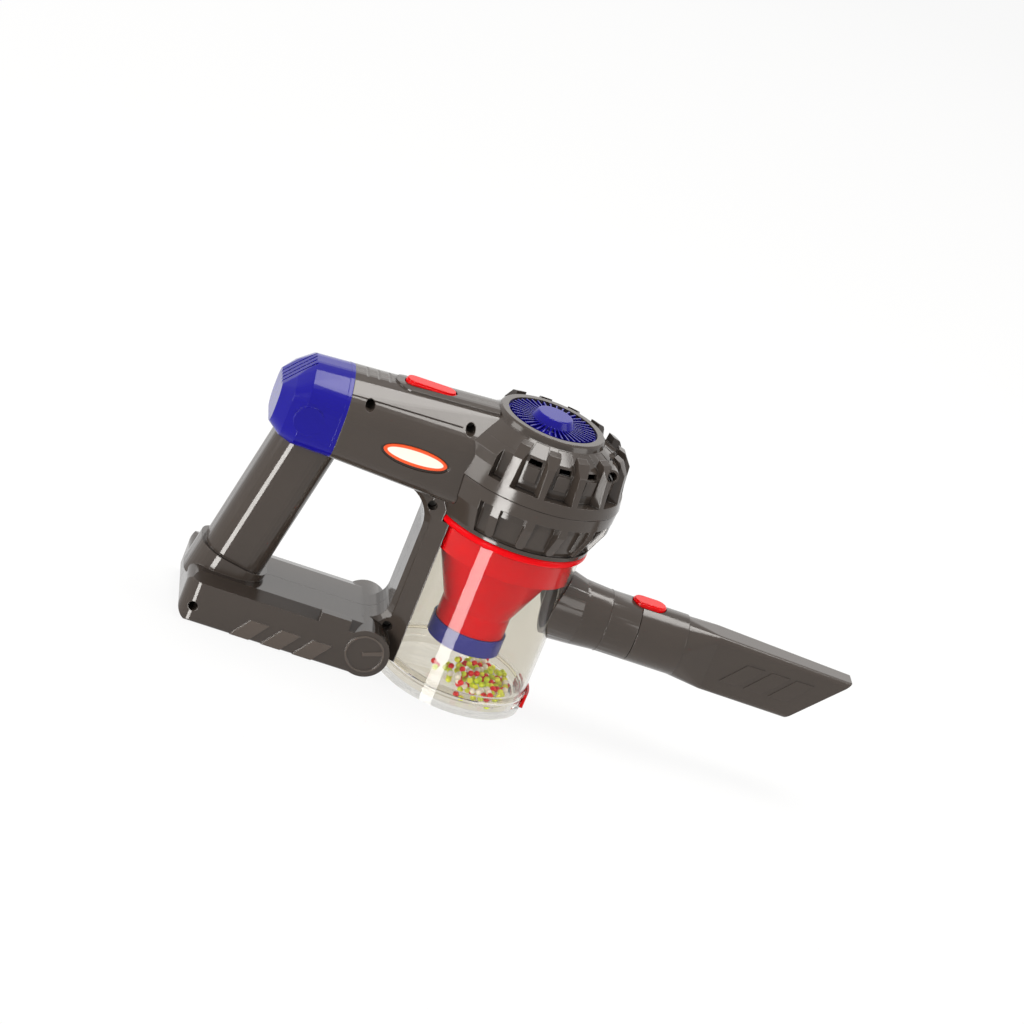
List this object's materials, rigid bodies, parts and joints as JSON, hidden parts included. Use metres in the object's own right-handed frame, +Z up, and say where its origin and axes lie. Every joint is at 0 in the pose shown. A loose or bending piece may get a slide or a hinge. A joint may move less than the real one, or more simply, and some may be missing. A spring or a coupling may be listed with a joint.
{
  "type": "toy vacuum cleaner",
  "caption": "Hand-held toy vacuum cleaner: ribbed motor head over a clear dust bin with a hinged lid, looped handle on a battery base, and a pull-off crevice nozzle.",
  "frame": {"origin": "centre of the bin lid's lower face, on the axis of the bin, where the part stands", "axes": "+X forward along the inlet to the nozzle's tip, +Z up the axis of the bin, +Y to the left-hand side"},
  "size_m": [0.325, 0.09, 0.1459],
  "materials": {
    "grey_shell": "warm dark grey, glossy moulded",
    "blue_cap": "ultramarine, glossy moulded",
    "red_button": "bright red, glossy moulded",
    "red_shroud": "bright red, glossy moulded",
    "violet_ring": "violet blue, glossy moulded",
    "clear_plastic": "clear with a faint warm tint",
    "badge": "orange ring around a plain cream field",
    "white_plastic": "white moulded",
    "black_plastic": "black moulded",
    "steel": "plated steel",
    "cell_jacket": "plain unprinted cell jacket"
  },
  "bodies": {
    "body": {"body_shell_right": "grey_shell", "body_shell_left": "grey_shell", "rear_cap": "blue_cap", "button_spring": "steel", "power_switch": "black_plastic", "badge_right": "badge", "badge_left": "badge", "vent_disc": "blue_cap", "cyclone_collar": "grey_shell", "cyclone_shroud": "red_shroud", "filter_ring": "violet_ring", "filter_screen": "white_plastic", "dust_bin": "clear_plastic", "lid_hinge_pin": "steel", "inlet_duct": "grey_shell", "motor_bracket": "black_plastic", "motor_can": "steel", "battery_door": "grey_shell", "battery_door_screw": "steel", "battery_cells": "cell_jacket", "battery_contacts": "steel", "battery_springs": "steel", "housing_screws": "steel"},
    "power_button": {"power_button": "red_button"},
    "rotor": {"motor_shaft": "steel", "impeller": "white_plastic"},
    "lid": {"bin_lid": "clear_plastic", "latch_pin": "steel"},
    "latch": {"bin_latch": "red_button"},
    "nozzle": {"crevice_nozzle": "grey_shell", "release_spring": "steel"},
    "release_button": {"release_button": "red_button"}
  },
  "joints": [
    {"name": "power_press", "type": "slide", "parent": "body", "child": "power_button", "axis": [0, 0, -1], "range_m": [0, 0.002], "stiffness_N_per_m": 300, "deforming": ["button_spring"]},
    {"name": "rotor_spin", "type": "hinge", "parent": "body", "child": "rotor", "pos_m": [0, 0, 0.1], "axis": [0, 0, 1], "continuous": true},
    {"name": "lid_hinge", "type": "hinge", "parent": "body", "child": "lid", "pos_m": [-0.0422, 0, 0.004], "axis": [0, 1, 0], "range_deg": [0, 80]},
    {"name": "latch_pivot", "type": "hinge", "parent": "lid", "child": "latch", "pos_m": [0.0351, 0, 0.0026], "axis": [0, 1, 0], "range_deg": [0, 20], "stiffness_Nm_per_rad": 0.03},
    {"name": "nozzle_pull", "type": "slide", "parent": "body", "child": "nozzle", "axis": [1, 0, 0], "range_m": [0, 0.03]},
    {"name": "release_press", "type": "slide", "parent": "nozzle", "child": "release_button", "axis": [0, 0, -1], "range_m": [0, 0.001], "stiffness_N_per_m": 300, "deforming": ["release_spring"]}
  ]
}
